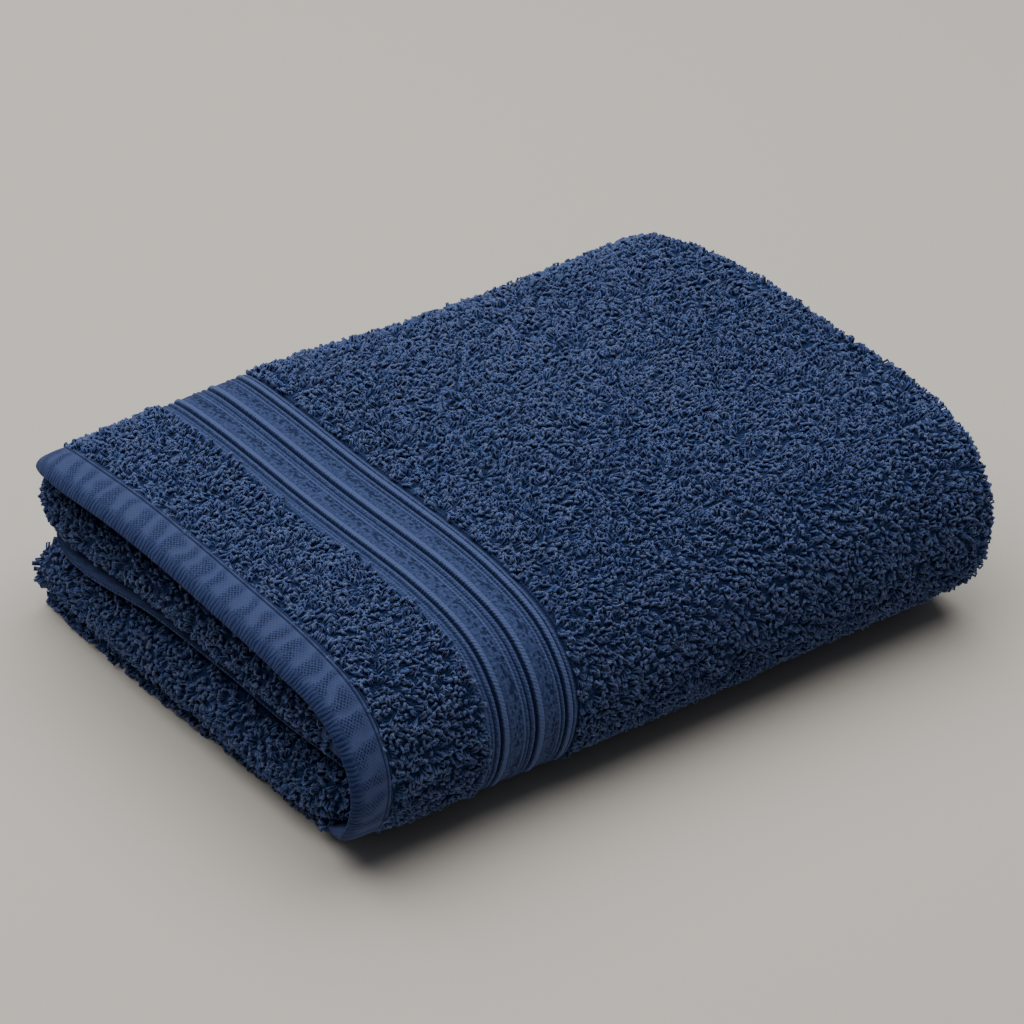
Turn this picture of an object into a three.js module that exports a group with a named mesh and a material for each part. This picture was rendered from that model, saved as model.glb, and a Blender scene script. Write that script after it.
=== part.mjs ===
// Bath towel of looped cotton terry, folded for the shelf. Millimetres, +Z up.
// The cloth is folded crosswise into four layers, and that stack is then folded in thirds along
// its width: a lower third, an upper third over it, and a last third tucked between the two.
// The whole towel is one sheet, so it is one closed body: the outline of the four layers, seen
// from the side, is swept along the path of the folds in thirds.
import * as THREE from 'three';
import { mergeVertices } from 'three/addons/utils/BufferGeometryUtils.js';

// The stack of four layers
const LAYER_GAP = 0.7;
const FOLD_ROUNDNESS = 0.85;
const RIGHT_FOLD_STEPS = 6;
const LEFT_FOLD_STEPS = 6;
const INNER_FOLD_STEPS = 4;
const HIDDEN_HEM_CLEARANCE = 1.2;

// The hem at the free end of the outer layer
const HEM_WIDTH = 18;
const HEM_THICKNESS = 3.4;
const HEM_SUNK = 0.8;

// How far the hem droops past the rolled ends below it, once it overhangs them enough
const HEM_DROOP = 5.5;
const DROOP_STARTS_AT = 6;
const DROOP_FULL_AT = 26;
const HELD_PAST_ROLL = 2;

// The whole folded towel
const LENGTH_TO_SWELL = 312;
const SWELL = 0.05;
const TOP_LEVEL = 80;
const SURFACE_WAVE = 1.1;
const WAVE_LENGTH_X = 190;
const WAVE_LENGTH_Y = 165;
const WAVE_TURN = 0.6;

// The hem's front corner curls up off the floor
const CORNER_LIFT = 5;
const CORNER_REACH = 60;
const CORNER_HEIGHT = 40;

// Places along the length where every face has a point, so that the layers keep their gaps.
// The outer face has its own lines as far as the border, and shares the rest.
const SHARED_STATIONS = [48, 100, 152, 204, 256];
const BORDER_ENDS_BEFORE = 120;

// The cloth's long edges, thinner than the looped cloth
const SIDE_EDGE_LENGTH = 1.8;
const SIDE_EDGE_THINNING = 1.1;

// The path of the folds in thirds, one row for each place along it. y and z are the outer face
// and the inner face of the stack, and the last three say how far the hem, the rolled left ends
// of the other layers and the folds at the right reach. steps is how finely the stretch up to
// the next row is cut.
const PATH_COLUMNS = ['steps', 'outerY', 'outerZ', 'innerY', 'innerZ', 'hemX', 'rollX', 'rightX'];
const PATH = {
  lower_back_edge: [1, 240, 0, 239, 29, 8, 4, 307],
  lower_back: [1, 212, 0, 212, 32, 6, 0.5, 310],
  lower_middle: [1, 155, 0, 155, 34, 6, -1.5, 312],
  lower_front: [1, 105, 0, 106, 33.5, 8, -1.5, 312],
  lower_near: [1, 66, 0, 72, 29.8, 8, -1.5, 311],
  front_foot: [2, 43, 1.6, 51, 28, 4, -1, 310],
  front_low: [2, 22.5, 8.4, 36.5, 28.6, -1.5, 2.5, 309],
  front_below: [2, 9.5, 17, 28, 32, -6, 17, 308.5],
  front_face: [2, 2.6, 29.5, 24.2, 38.5, -7.5, 22, 308.5],
  front_above: [2, 1.4, 44.5, 23.6, 46.6, -7.5, 24, 309.5],
  front_high: [2, 8.6, 60.5, 29.2, 52.6, -7, 24, 311.5],
  front_brow: [2, 25.6, 73, 40.1, 57.2, -7, 22, 314.5],
  upper_front: [2, 57, 80.5, 62, 60.4, -8, 18, 317.5],
  upper_near: [2, 103, 83.8, 104, 62.8, -8.2, 18, 319],
  upper_middle: [2, 156, 84.8, 156, 63.8, -8.2, 18, 318.5],
  upper_back: [2, 197, 84, 196, 62.8, -7, 17, 315.5],
  back_brow: [2, 223, 81, 214.5, 61.7, -3, 14, 312],
  back_high: [2, 239, 71.4, 221, 60.9, 3, 10, 309.5],
  back_face: [2, 245, 57.5, 222.8, 59.9, 8.5, 4, 308.5],
  back_low: [2, 239.5, 43.5, 221, 59, 10, 2.5, 308.5],
  back_below: [1, 225, 34.6, 215, 58.4, 6, 2.5, 308.5],
  tucked_back: [1, 196, 34.2, 196, 60, 2.5, 2.5, 308],
  tucked_middle: [1, 155, 36, 156, 61.4, 1, 2, 308],
  tucked_front: [1, 104, 35.5, 104, 60.6, 1, 2, 308],
  tucked_near: [1, 70, 31.6, 70, 58.4, 2, 3, 308],
  tucked_edge: [1, 34, 29.8, 34, 51.2, 4, 6, 308],
};

// The face of the outer layer from the hem inwards: how far each line lies from the hem's edge,
// and how deep it is sunk below the tips of the loops. The border is woven flat, with three
// round cords, two broad bands and fine ridges between deep grooves.
const FACE = [
  { line: 'hem edge turns over', from_hem: 0.9, sunk: HEM_SUNK + 0.6 },
  { line: 'hem', from_hem: 2.6, sunk: HEM_SUNK },
  { line: 'hem, before its seam', from_hem: HEM_WIDTH - 1.6, sunk: HEM_SUNK },
  { line: 'stitched seam', from_hem: HEM_WIDTH, sunk: 2.0 },
  { line: 'ridge behind the seam', from_hem: HEM_WIDTH + 1.2, sunk: 0.9 },
  { line: 'loops begin', from_hem: HEM_WIDTH + 2.6, sunk: 0 },
  { line: 'loops end', from_hem: 62.0, sunk: 0 },
  { line: 'border starts', from_hem: 63.0, sunk: 1.3 },
  { line: 'fine ridges', from_hem: 66.6, sunk: 1.2 },
  { line: 'first groove', from_hem: 68.2, sunk: 2.1 },
  { line: 'first cord', from_hem: 69.8, sunk: 0.5 },
  { line: 'first band starts', from_hem: 71.4, sunk: 1.1 },
  { line: 'first band ends', from_hem: 80.6, sunk: 1.0 },
  { line: 'narrow ridge', from_hem: 82.4, sunk: 0.8 },
  { line: 'second groove', from_hem: 84.2, sunk: 2.1 },
  { line: 'second cord', from_hem: 85.8, sunk: 0.5 },
  { line: 'second band starts', from_hem: 87.4, sunk: 1.1 },
  { line: 'second band ends', from_hem: 96.4, sunk: 1.0 },
  { line: 'third groove', from_hem: 99.2, sunk: 2.0 },
  { line: 'third cord', from_hem: 100.8, sunk: 0.5 },
  { line: 'border ends', from_hem: 104.2, sunk: 1.4 },
  { line: 'loops begin again', from_hem: 105.4, sunk: 0 },
];

// The hem's underside, from the full cloth to the hem's edge, and how much deeper than the hem
const UNDER_HEM = [
  { line: 'full cloth', from_hem: 25, deeper: 10 },
  { line: 'stitched seam', from_hem: 16, deeper: 0.4 },
  { line: 'middle of the hem', from_hem: 9, deeper: 0 },
  { line: 'hem edge turns over', from_hem: 2, deeper: 0 },
];

function smoothCurve(rows, row, part) {
  const last = rows.length - 1;
  return PATH_COLUMNS.reduce((values, name) => {
    const here = rows[row][name];
    const next = rows[row + 1][name];
    const before = row > 0 ? rows[row - 1][name] : 2 * here - next;
    const after = row + 1 < last ? rows[row + 2][name] : 2 * next - here;
    const bend = 2 * before - 5 * here + 4 * next - after;
    const turn = -before + 3 * here - 3 * next + after;
    values[name] = here + 0.5 * part * (next - before + part * (bend + part * turn));
    return values;
  }, {});
}

function stationsAlongPath() {
  const rows = Object.values(PATH).map((numbers) => (
    Object.fromEntries(PATH_COLUMNS.map((name, index) => [name, numbers[index]]))
  ));
  const stations = [];
  for (let row = 0; row + 1 < rows.length; row += 1) {
    const { steps } = rows[row];
    for (let step = 0; step < steps; step += 1) {
      stations.push(smoothCurve(rows, row, step / steps));
    }
  }
  stations.push(rows[rows.length - 1]);
  const whole = stations.map((station) => {
    const outerZ = Math.max(0, station.outerZ);
    const thickness = Math.hypot(station.innerY - station.outerY, station.innerZ - outerZ);
    return { ...station, outerZ, thickness, thin: 0 };
  });
  const first = whole[0];
  const last = whole[whole.length - 1];
  return [sideEdge(first, SIDE_EDGE_LENGTH), ...whole, sideEdge(last, -SIDE_EDGE_LENGTH)];
}

function sideEdge(station, reach) {
  return {
    ...station,
    outerY: station.outerY + reach,
    innerY: station.innerY + reach,
    thin: SIDE_EDGE_THINNING,
  };
}

// Half an ellipse from one side of a fold to the other, with its nose at quarter turn 2 or 0
function foldArc(centreX, centreDepth, halfDepth, startDegrees, endDegrees, steps) {
  const points = [];
  for (let step = 0; step <= steps; step += 1) {
    const angle = THREE.MathUtils.degToRad(
      THREE.MathUtils.lerp(startDegrees, endDegrees, step / steps),
    );
    points.push({
      x: centreX + halfDepth * FOLD_ROUNDNESS * Math.cos(angle),
      depth: centreDepth + halfDepth * Math.sin(angle),
    });
  }
  return points;
}

function straightFace(depth, runsLeft) {
  const points = SHARED_STATIONS.map((x) => ({ x, depth }));
  return runsLeft ? points.reverse() : points;
}

// How far the free end of the outer layer droops where nothing holds it up
function droopAt(station, x) {
  const holdX = station.rollX + HELD_PAST_ROLL;
  const overhang = holdX - station.hemX;
  if (x >= holdX || overhang <= 0) {
    return 0;
  }
  const loose = THREE.MathUtils.clamp(
    (overhang - DROOP_STARTS_AT) / (DROOP_FULL_AT - DROOP_STARTS_AT),
    0,
    1,
  );
  const facesUp = Math.max(0, (station.outerZ - station.innerZ) / station.thickness);
  return HEM_DROOP * loose * facesUp * ((holdX - x) / overhang) ** 2;
}

function outerFace(station) {
  const lines = FACE.map(({ from_hem: fromHem, sunk }) => {
    const x = station.hemX + fromHem;
    return { x, depth: station.thin + sunk + droopAt(station, x) };
  });
  const beyondBorder = straightFace(station.thin, false).filter(({ x }) => x > BORDER_ENDS_BEFORE);
  return [...lines, ...beyondBorder];
}

// The inner face of the outer layer, out to the nose of the hem
function underHem(station, layerDepth) {
  const hemInner = HEM_SUNK + HEM_THICKNESS;
  const points = UNDER_HEM.map(({ from_hem: fromHem, deeper }) => {
    const x = station.hemX + fromHem;
    return { x, depth: Math.min(layerDepth, hemInner + deeper) + droopAt(station, x) };
  });
  const noseX = station.hemX;
  points.push({ x: noseX, depth: HEM_SUNK + HEM_THICKNESS / 2 + droopAt(station, noseX) });
  return points;
}

// The outline of the four layers at one station, as points of length and depth into the stack.
// It runs along the outer face, round the outer right fold, back along the innermost face, round
// the rolled left end, round the inner right fold to the hidden hem, and back inside the cloth.
function layerOutline(station) {
  const stack = station.thickness;
  const gap = LAYER_GAP + 2 * station.thin;
  const pitch = (stack + LAYER_GAP) / 4;
  const top = station.thin;
  const layer = pitch - LAYER_GAP - 2 * station.thin;
  const middle = stack / 2;
  const foldX = station.rightX - FOLD_ROUNDNESS * middle;
  const rollDepth = middle + pitch / 2;
  const rollHalf = (stack - pitch) / 2 - top;
  const rollX = station.rollX + FOLD_ROUNDNESS * rollHalf;
  const insideRoll = layer / 2 + gap;
  const hiddenHemX = rollX + HIDDEN_HEM_CLEARANCE;
  return [
    ...outerFace(station),
    ...foldArc(foldX, middle, middle - top, -90, 90, RIGHT_FOLD_STEPS),
    ...straightFace(stack - top, true),
    ...foldArc(rollX, rollDepth, rollHalf, 90, 270, LEFT_FOLD_STEPS),
    ...straightFace(pitch + top, false),
    ...foldArc(foldX, middle, middle - pitch - top, -90, 90, INNER_FOLD_STEPS),
    ...straightFace(stack - pitch - top, true),
    ...foldArc(hiddenHemX, rollDepth, layer / 2, 90, 270, INNER_FOLD_STEPS),
    ...straightFace(2 * pitch + top, false),
    ...foldArc(foldX, middle, gap / 2, 90, -90, 2),
    ...straightFace(pitch + top + layer, true),
    ...foldArc(rollX, rollDepth, insideRoll, 270, 90, INNER_FOLD_STEPS),
    ...straightFace(stack - top - layer, false),
    ...foldArc(foldX, middle, middle - top - layer, 90, -90, INNER_FOLD_STEPS),
    ...straightFace(top + layer, true),
    ...underHem(station, top + layer),
  ];
}

function cornerLift(x, y, z) {
  const along = Math.max(0, 1 - Math.max(0, x) / CORNER_REACH);
  const back = Math.max(0, 1 - y / CORNER_REACH);
  const low = Math.max(0, 1 - z / CORNER_HEIGHT);
  return CORNER_LIFT * along ** 2 * back * low;
}

// The stack is a little taller towards its folded end, and its top is softly uneven
function settle(x, y, z) {
  const taller = 1 + SWELL * THREE.MathUtils.clamp(x / LENGTH_TO_SWELL, 0, 1);
  const across = (2 * Math.PI * (x + WAVE_TURN * y)) / WAVE_LENGTH_X;
  const along = (2 * Math.PI * (y - WAVE_TURN * x)) / WAVE_LENGTH_Y;
  const wave = SURFACE_WAVE * (Math.sin(across) + Math.cos(along)) * (z / TOP_LEVEL);
  return new THREE.Vector3(x, y, z * taller + wave + cornerLift(x, y, z));
}

function placeOutline(station) {
  return layerOutline(station).map(({ x, depth }) => {
    const share = depth / station.thickness;
    const y = THREE.MathUtils.lerp(station.outerY, station.innerY, share);
    const z = THREE.MathUtils.lerp(station.outerZ, station.innerZ, share);
    return settle(x, y, z);
  });
}

function capTriangles(station) {
  const flat = layerOutline(station).map(({ x, depth }) => new THREE.Vector2(x, depth));
  return THREE.ShapeUtils.triangulateShape(flat, []);
}

function sweptCloth() {
  const stations = stationsAlongPath();
  const rings = stations.map(placeOutline);
  const count = rings[0].length;
  const triangles = [];
  for (let ring = 0; ring + 1 < rings.length; ring += 1) {
    for (let point = 0; point < count; point += 1) {
      const next = (point + 1) % count;
      const here = rings[ring];
      const ahead = rings[ring + 1];
      triangles.push([here[point], here[next], ahead[next]]);
      triangles.push([here[point], ahead[next], ahead[point]]);
    }
  }
  const first = rings[0];
  const last = rings[rings.length - 1];
  capTriangles(stations[0]).forEach(([a, b, c]) => {
    triangles.push([first[a], first[c], first[b]]);
  });
  capTriangles(stations[stations.length - 1]).forEach(([a, b, c]) => {
    triangles.push([last[a], last[b], last[c]]);
  });
  return triangles;
}

function closedGeometry(triangles) {
  const flat = triangles.flat().flatMap((corner) => corner.toArray());
  let geometry = new THREE.BufferGeometry();
  geometry.setAttribute('position', new THREE.Float32BufferAttribute(flat, 3));
  geometry = mergeVertices(geometry, 1e-4);
  geometry.computeBoundingBox();
  const { min, max } = geometry.boundingBox;
  geometry.translate(-(min.x + max.x) / 2, -(min.y + max.y) / 2, -min.z);
  geometry.computeVertexNormals();
  return geometry;
}

const terryMaterial = new THREE.MeshStandardMaterial({
  name: 'navy_cotton_terry',
  color: 0x2b3f69,
  roughness: 0.95,
  metalness: 0,
});

const cloth = new THREE.Mesh(closedGeometry(sweptCloth()), terryMaterial);
cloth.name = 'towel_cloth';

const towel = new THREE.Group();
towel.add(cloth);

export default towel;
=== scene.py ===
"""A bath towel of navy cotton terry, folded crosswise into four layers and then in thirds.

The ground weave is one sheet that runs through all the folds. On it stand the loops of the pile,
each a short bent length of yarn. Sizes are in millimetres until the meshes are made.
"""

import math

import bpy
import numpy as np
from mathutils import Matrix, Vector
from mathutils.geometry import tessellate_polygon


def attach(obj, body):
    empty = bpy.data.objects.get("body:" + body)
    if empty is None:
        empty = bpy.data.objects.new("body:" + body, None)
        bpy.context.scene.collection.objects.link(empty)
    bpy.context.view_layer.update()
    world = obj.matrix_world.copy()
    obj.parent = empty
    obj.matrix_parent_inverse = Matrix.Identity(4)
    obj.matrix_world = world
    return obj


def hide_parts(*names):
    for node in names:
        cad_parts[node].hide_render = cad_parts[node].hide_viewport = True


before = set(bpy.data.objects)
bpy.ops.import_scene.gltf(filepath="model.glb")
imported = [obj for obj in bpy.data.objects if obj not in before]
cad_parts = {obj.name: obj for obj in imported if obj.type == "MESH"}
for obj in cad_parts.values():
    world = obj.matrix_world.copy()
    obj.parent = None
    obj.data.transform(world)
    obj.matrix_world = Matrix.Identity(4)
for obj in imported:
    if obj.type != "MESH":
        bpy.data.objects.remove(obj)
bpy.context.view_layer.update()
bpy.ops.object.select_all(action="DESELECT")

MM = 0.001
rng = np.random.default_rng(7)

# Where the middle of the folded towel lies in the fold's own measures
MIDDLE_X = 155.37
MIDDLE_Y = 123.06

# The stack of four layers
LAYER_GAP = 0.7
FOLD_ROUNDNESS = 0.85
HIDDEN_HEM_CLEARANCE = 1.2

# The hem at the free end of the outer layer. Its edge is rounded over the nose's length, and
# past the edge's length it counts as the hem's face. It droops where it hangs free.
HEM_WIDTH = 15.5
HEM_THICKNESS = 3.4
HEM_SUNK = 0.8
HEM_CROWN = 0.25
HEM_NOSE = 6.0
HEM_ROUND = 3.1
HEM_EDGE = 2.4
HEM_DROOP = 5.5
DROOP_STARTS_AT = 6.0
DROOP_FULL_AT = 26.0
HELD_PAST_ROLL = 2.0

# The whole folded towel: how it swells towards its folded end, the slow waves of its top, and
# the corner at the hem that curls up off the floor
LENGTH_TO_SWELL = 312.0
SWELL = 0.05
TOP_LEVEL = 80.0
SURFACE_WAVE = 1.1
WAVE_LENGTH_X = 190.0
WAVE_LENGTH_Y = 165.0
WAVE_TURN = 0.6
CORNER_LIFT = 5.0
CORNER_REACH = 60.0
CORNER_HEIGHT = 40.0

# The cloth: how deep the ground weave lies below the tips of the loops, on the side that shows
# and on the side inside the folds, and the narrow hems along its two long edges
PILE = 2.0
HIDDEN_PILE = 0.3
SIDE_HEM_WIDTH = 7.0
SIDE_HEM_SUNK = 0.7
SIDE_GROOVE = 0.3
SIDE_EDGE_LENGTH = 1.8

# The path of the folds in thirds, one row for each place along it: the outer face and the inner
# face of the stack, and how far the hem, the rolled left ends and the right folds reach
PATH_COLUMNS = ("outer_y", "outer_z", "inner_y", "inner_z", "hem_x", "roll_x", "right_x")
PATH = {
    "lower_back_edge": (240, 0, 239, 29, 8, 4, 307),
    "lower_back": (212, 0, 212, 32, 6, 0.5, 310),
    "lower_middle": (155, 0, 155, 34, 6, -1.5, 312),
    "lower_front": (105, 0, 106, 33.5, 8, -1.5, 312),
    "lower_near": (66, 0, 72, 29.8, 8, -1.5, 311),
    "front_foot": (43, 1.6, 51, 28, 7, -1, 310),
    "front_low": (22.5, 8.4, 36.5, 28.6, -1.2, 2.5, 309),
    "front_below": (9.5, 17, 28, 32, -5.7, 17, 308.5),
    "front_face": (2.6, 29.5, 24.2, 38.5, -6.4, 22, 308.5),
    "front_above": (1.4, 44.5, 23.6, 46.6, -5.9, 24, 309.5),
    "front_high": (8.6, 60.5, 29.2, 52.6, -5.4, 24, 311.5),
    "front_brow": (25.6, 73, 40.1, 57.2, -5, 22, 314.5),
    "upper_front": (57, 80.5, 62, 60.4, -5.2, 18, 317.5),
    "upper_near": (103, 83.8, 104, 62.8, -4.8, 18, 319),
    "upper_middle": (156, 84.8, 156, 63.8, -4.5, 18, 318.5),
    "upper_back": (197, 84, 196, 62.8, -4.2, 17, 315.5),
    "back_brow": (223, 81, 214.5, 61.7, -2.5, 14, 312),
    "back_high": (239, 71.4, 221, 60.9, 3.5, 10, 309.5),
    "back_face": (245, 57.5, 222.8, 59.9, 11, 4, 308.5),
    "back_low": (239.5, 43.5, 221, 59, 12, 2.5, 308.5),
    "back_below": (225, 34.6, 215, 58.4, 5, 2.5, 308.5),
    "tucked_back": (196, 34.2, 196, 60, 1.5, 2.5, 308),
    "tucked_middle": (155, 36, 156, 61.4, 4.5, 2, 308),
    "tucked_front": (104, 35.5, 104, 60.6, 6, 2, 308),
    "tucked_near": (70, 31.6, 70, 58.4, 8, 3, 308),
    "tucked_edge": (34, 29.8, 34, 51.2, 10, 6, 308),
}
# Steps in which the cloth's width is measured along the path
PATH_STEPS = 4001

# The face of the outer layer, by distance from the hem's edge
LOOPS_START = HEM_WIDTH + 1.2
BORDER_START = 58.4
BORDER_END = 102.8
BORDER_SUNK = 1.1
# The two broad bands of the border, by where each starts and ends
BANDS = ((69.8, 75.6), (86.0, 91.8))

# The ridges and grooves of the hem's seam and of the border: place, half width towards the hem,
# half width away from it, and rise
RELIEF = {
    "first stitches": (HEM_WIDTH - 0.9, 0.3, 0.3, -0.5),
    "seam ridge": (HEM_WIDTH - 0.2, 0.5, 0.5, 0.5),
    "second stitches": (HEM_WIDTH + 0.7, 0.4, 0.4, -0.9),
    "fine ridge 1": (60.2, 0.8, 0.7, 0.5),
    "fine ridge 2": (61.8, 0.6, 0.7, 0.4),
    "furrow 1": (63.1, 0.6, 0.6, -0.5),
    "fine ridge 3": (64.5, 0.9, 0.7, 0.5),
    "first groove": (66.2, 1.0, 0.8, -1.9),
    "first cord": (68.4, 1.7, 0.7, 0.9),
    "band 1": (72.7, 2.9, 2.8, 0.25),
    "narrow ridge 1": (76.1, 0.6, 0.6, 0.65),
    "narrow ridge 2": (77.9, 0.6, 0.6, 0.45),
    "furrow 2": (79.0, 0.6, 0.6, -0.7),
    "narrow ridge 3": (80.5, 0.8, 0.6, 0.5),
    "second groove": (82.1, 0.9, 0.9, -2.0),
    "second cord": (84.6, 1.9, 0.7, 0.9),
    "band 2": (88.9, 2.8, 2.8, 0.25),
    "narrow ridge 4": (92.4, 0.6, 0.6, 0.6),
    "furrow 3": (93.4, 0.4, 0.4, -0.4),
    "narrow ridge 5": (94.4, 0.6, 0.6, 0.5),
    "third groove": (95.8, 0.8, 0.9, -1.9),
    "third cord": (98.0, 1.6, 0.6, 0.9),
    "furrow 4": (98.9, 0.4, 0.4, -0.4),
    "last ridge": (99.8, 0.6, 0.7, 0.5),
    "last groove": (102.2, 1.5, 0.6, -1.0),
}


def places_on_path(rows_along):
    """The path's values at row numbers, on a smooth curve through the rows."""
    rows = np.array(list(PATH.values()), float)
    rows = np.vstack([2 * rows[0] - rows[1], rows, 2 * rows[-1] - rows[-2]])
    first = np.clip(np.floor(rows_along).astype(int), 0, len(PATH) - 2)
    part = (rows_along - first)[:, None]
    before, here, ahead, after = (rows[first + k] for k in range(4))
    bend = 2 * before - 5 * here + 4 * ahead - after
    turn = -before + 3 * here - 3 * ahead + after
    values = here + 0.5 * part * (ahead - before + part * (bend + part * turn))
    place = dict(zip(PATH_COLUMNS, values.T))
    place["outer_z"] = np.maximum(place["outer_z"], 0)
    return place


def width_of_path():
    """Row numbers along the path, and how much of the cloth's width lies before each."""
    rows_along = np.linspace(0, len(PATH) - 1, PATH_STEPS)
    place = places_on_path(rows_along)
    steps = np.hypot(np.diff(place["outer_y"]), np.diff(place["outer_z"]))
    return rows_along, np.concatenate([[0], np.cumsum(steps)])


ROWS_ALONG, WIDTH_ALONG = width_of_path()
CLOTH_WIDTH = WIDTH_ALONG[-1]


def places_at(across):
    """The path's values at distances across the cloth, from its lower long edge to its tucked
    one. Distances past either edge carry on straight for the rounded edge."""
    inside = np.clip(across, 0, CLOTH_WIDTH)
    place = places_on_path(np.interp(inside, WIDTH_ALONG, ROWS_ALONG))
    reach = np.maximum(-across, 0) - np.maximum(across - CLOTH_WIDTH, 0)
    place["outer_y"] = place["outer_y"] + reach
    place["inner_y"] = place["inner_y"] + reach
    place["stack"] = np.hypot(
        place["inner_y"] - place["outer_y"], place["inner_z"] - place["outer_z"]
    )
    edge = np.minimum(inside, CLOTH_WIDTH - inside)
    in_hem = edge < SIDE_HEM_WIDTH
    in_groove = (edge >= SIDE_HEM_WIDTH) & (edge < SIDE_HEM_WIDTH + 1)
    beside_hem = np.where(in_groove, PILE + SIDE_GROOVE, PILE)
    place["ground"] = np.where(in_hem, SIDE_HEM_SUNK, beside_hem)
    # The rounded edge stops just short of its tip, where the two sides would meet
    past_edge = np.clip(np.abs(reach) / SIDE_EDGE_LENGTH, 0, 0.98)
    layer = (place["stack"] + LAYER_GAP) / 4 - LAYER_GAP
    half = (layer - SIDE_HEM_SUNK - HIDDEN_PILE) / 2
    place["thin"] = 0.95 * half * (1 - np.sqrt(1 - past_edge**2))
    return place


def relief(from_hem):
    """How far the woven ridges and grooves rise above the flat weave."""
    rise = 0.0
    for at, before, after, height in RELIEF.values():
        share = min(abs(from_hem - at) / (before if from_hem < at else after), 1)
        rise += height * (math.sqrt(1 - share**2) if height > 0 else (1 - share) ** 0.7)
    return rise


def droop_at(place, x):
    """How far the free end of the outer layer droops where nothing holds it up."""
    hold = place["roll_x"] + HELD_PAST_ROLL
    overhang = hold - place["hem_x"]
    loose = np.clip((overhang - DROOP_STARTS_AT) / (DROOP_FULL_AT - DROOP_STARTS_AT), 0, 1)
    faces_up = np.maximum(0, (place["outer_z"] - place["inner_z"]) / place["stack"])
    past = np.clip(hold - x, 0, None) / np.maximum(overhang, 0.001)
    return np.where(overhang > 0, HEM_DROOP * loose * faces_up * past**2, 0)


def stack_sizes(place):
    """The sizes of the four layers at each place."""
    stack = place["stack"]
    pitch = (stack + LAYER_GAP) / 4
    middle = stack / 2
    roll_half = (stack - pitch) / 2
    return {
        "stack": stack,
        "pitch": pitch,
        "layer": pitch - LAYER_GAP,
        "middle": middle,
        "fold_x": place["right_x"] - FOLD_ROUNDNESS * middle,
        "roll_depth": middle + pitch / 2,
        "roll_half": roll_half,
        "roll_x": place["roll_x"] + FOLD_ROUNDNESS * roll_half,
    }


def relief_lines():
    """Lines close enough together to show each ridge and groove."""
    lines = []
    for at, before, after, _ in RELIEF.values():
        for width in (-before, after):
            turns = np.radians(np.linspace(0, 90, 3 if abs(width) < 1 else 5))
            lines.append(at + width * np.sin(turns))
    return np.concatenate(lines)


# Where the lines of the outer face lie, by distance from the hem's edge: close together on the
# hem, its seam and the border, and far apart under the loops
FACE_LINES = np.unique(np.round(np.concatenate([
    [0.0, 0.15, 0.5, 1.0, 1.7, 2.6, 3.6, 4.7, HEM_NOSE],
    np.arange(7.2, 14.4, 1.2),
    [LOOPS_START, LOOPS_START + 0.4, 27.0, 38.0, 49.0],
    [BORDER_START - 0.5, BORDER_START, BORDER_END, BORDER_END + 0.6, 110.0],
    relief_lines(),
]), 2))
FACE_SHARES = np.linspace(0, 1, 20)[1:-1]


def face_depth(from_hem, ground):
    """How deep the outer face lies below the loops' tips, from the hem's edge inwards."""
    if from_hem < LOOPS_START:
        nose = max(1 - from_hem / HEM_NOSE, 0)
        round_edge = HEM_ROUND * (1 - math.sqrt(1 - nose**2))
        crown = HEM_CROWN * math.sin(math.pi * min(from_hem / HEM_WIDTH, 1))
        return np.full_like(ground, HEM_SUNK + round_edge - crown - relief(from_hem))
    if BORDER_START <= from_hem <= BORDER_END:
        return np.full_like(ground, BORDER_SUNK - relief(from_hem))
    return ground


def face_zone(from_hem):
    """What covers the outer face at a distance from the hem's edge."""
    if from_hem < LOOPS_START:
        return "hem" if from_hem > HEM_EDGE else "hem_edge"
    return "border" if BORDER_START <= from_hem < BORDER_END else "face"


def fold_arc(zone, centre_x, centre_depth, half, start, end, steps):
    """Lines round a fold, on half an ellipse, as lines of (zone, x, depth)."""
    return [
        (zone, centre_x + half * FOLD_ROUNDNESS * math.cos(a), centre_depth + half * math.sin(a))
        for a in np.radians(np.linspace(start, end, steps + 1))
    ]


def flat_lines(zone, depth, first, last, count):
    """Lines along a layer between two folds, without the first and the last."""
    return [
        (zone, first + (last - first) * share, depth)
        for share in np.linspace(0, 1, count + 2)[1:-1]
    ]


def outer_side(place):
    """The side of the cloth that shows, as lines of (zone, x, depth): along the outer layer, round
    the right fold, back along the innermost layer, round the rolled left end, round the inner
    right fold, and to the hidden hem."""
    s = stack_sizes(place)
    ground = place["ground"] + place["thin"]
    lines = []
    for from_hem in FACE_LINES:
        x = place["hem_x"] + from_hem
        depth = face_depth(from_hem, place["ground"]) + place["thin"]
        lines.append((face_zone(from_hem), x, depth + droop_at(place, x)))
    start = place["hem_x"] + FACE_LINES[-1]
    lines += [("face", start + (s["fold_x"] - start) * share, ground) for share in FACE_SHARES]
    half = s["middle"] - ground
    lines += fold_arc("right_fold", s["fold_x"], s["middle"], half, -90, 90, 14)
    lines += flat_lines("inner_face", s["stack"] - ground, s["fold_x"], s["roll_x"], 12)
    half = s["roll_half"] - ground
    lines += fold_arc("left_roll", s["roll_x"], s["roll_depth"], half, 90, 270, 14)
    lines += flat_lines("hidden", s["pitch"] + ground, s["roll_x"], s["fold_x"], 8)
    half = s["middle"] - s["pitch"] - ground
    lines += fold_arc("hidden", s["fold_x"], s["middle"], half, -90, 90, 6)
    last_x = s["roll_x"] + HIDDEN_HEM_CLEARANCE
    lines += flat_lines("hidden", s["stack"] - s["pitch"] - ground, s["fold_x"], last_x, 8)
    return lines


# Where the lines of the hem's underside start, by distance from the hem's edge
UNDER_HEM_START = 30
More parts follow.
